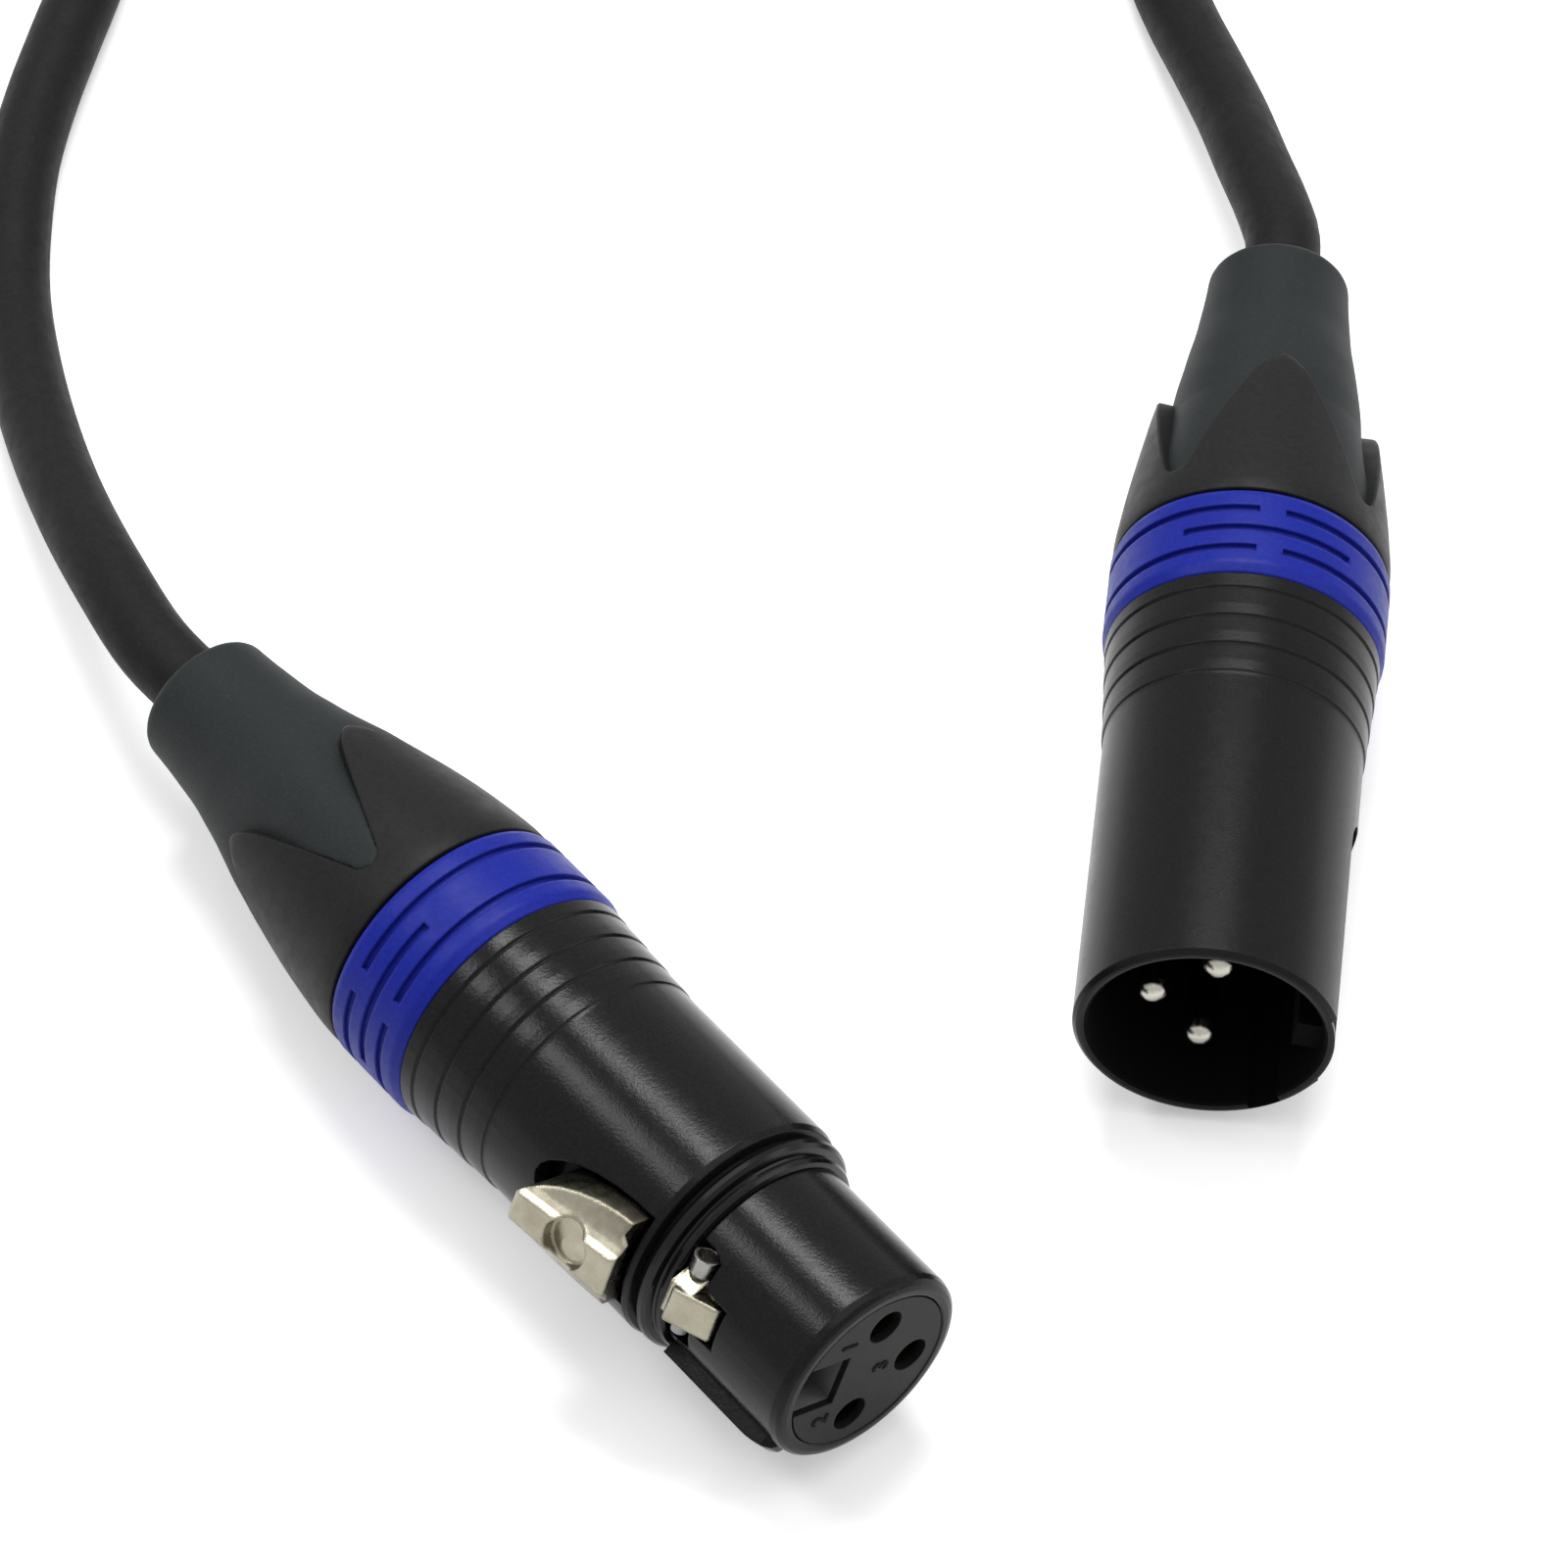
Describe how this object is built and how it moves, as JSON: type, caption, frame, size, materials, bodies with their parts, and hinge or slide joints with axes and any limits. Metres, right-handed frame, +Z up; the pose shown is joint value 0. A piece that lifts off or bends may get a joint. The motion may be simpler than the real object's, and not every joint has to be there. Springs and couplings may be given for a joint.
{
  "type": "audio cable",
  "caption": "Audio cable with a latching socket connector at one end and a pin connector at the other, each with a coloured ring and a flexible tail, the cable tied in a coil",
  "frame": {"origin": "on the table, under the middle of the box round both connectors as they lie", "axes": "+Z up from the table; -Y is the way the pin connector's mouth faces; +X to the right of it seen from above"},
  "size_m": [0.1124, 0.2371, 0.0208],
  "materials": {
    "shell": "satin black coating",
    "nickel": "nickel plate, satin",
    "steel": "bright steel",
    "insert": "fine grain, dark grey",
    "contact": "plated copper alloy",
    "silver": "silver plate, polished",
    "ring": "satin blue",
    "nut": "fine grain, warm black",
    "boot": "matte soft rubber, dark grey",
    "seal": "smooth black",
    "chuck": "smooth black",
    "nylon": "natural nylon",
    "jacket": "matte charcoal jacket",
    "wire": "insulated wires",
    "strap": "hook-and-loop strap"
  },
  "bodies": {
    "lead": {"female_shell": "shell", "female_seal_ring": "seal", "female_insert": "insert", "female_contact_1": "contact", "female_contact_2": "contact", "female_contact_3": "contact", "latch_pivot_pin": "steel", "latch_spring": "steel", "female_chuck": "chuck", "female_colour_ring": "ring", "female_gland_nut": "nut", "female_boot": "boot", "female_cable_end": "jacket", "female_wires": "wire", "male_shell": "shell", "male_insert": "insert", "male_contact_1": "silver", "male_contact_2": "silver", "male_contact_3": "silver", "male_chuck": "chuck", "male_colour_ring": "ring", "male_gland_nut": "nut", "male_boot": "boot", "male_cable_end": "jacket", "male_wires": "wire", "cable_run_female": "jacket", "cable_run_male": "jacket", "cable_coil": "jacket", "cable_tie": "strap"},
    "latch": {"latch_lever": "nickel", "latch_cross_pin": "steel", "cross_pin_plug": "nylon"}
  },
  "joints": [
    {"name": "latch_hinge", "type": "hinge", "parent": "lead", "child": "latch", "pos_m": [-0.01082, -0.03322, 0.01289], "axis": [0.2682, 0.2729, 0.9239], "range_deg": [0, 4.5], "stiffness_Nm_per_rad": 0.4, "springref_deg": -5.16, "deforming": ["latch_spring"]}
  ]
}
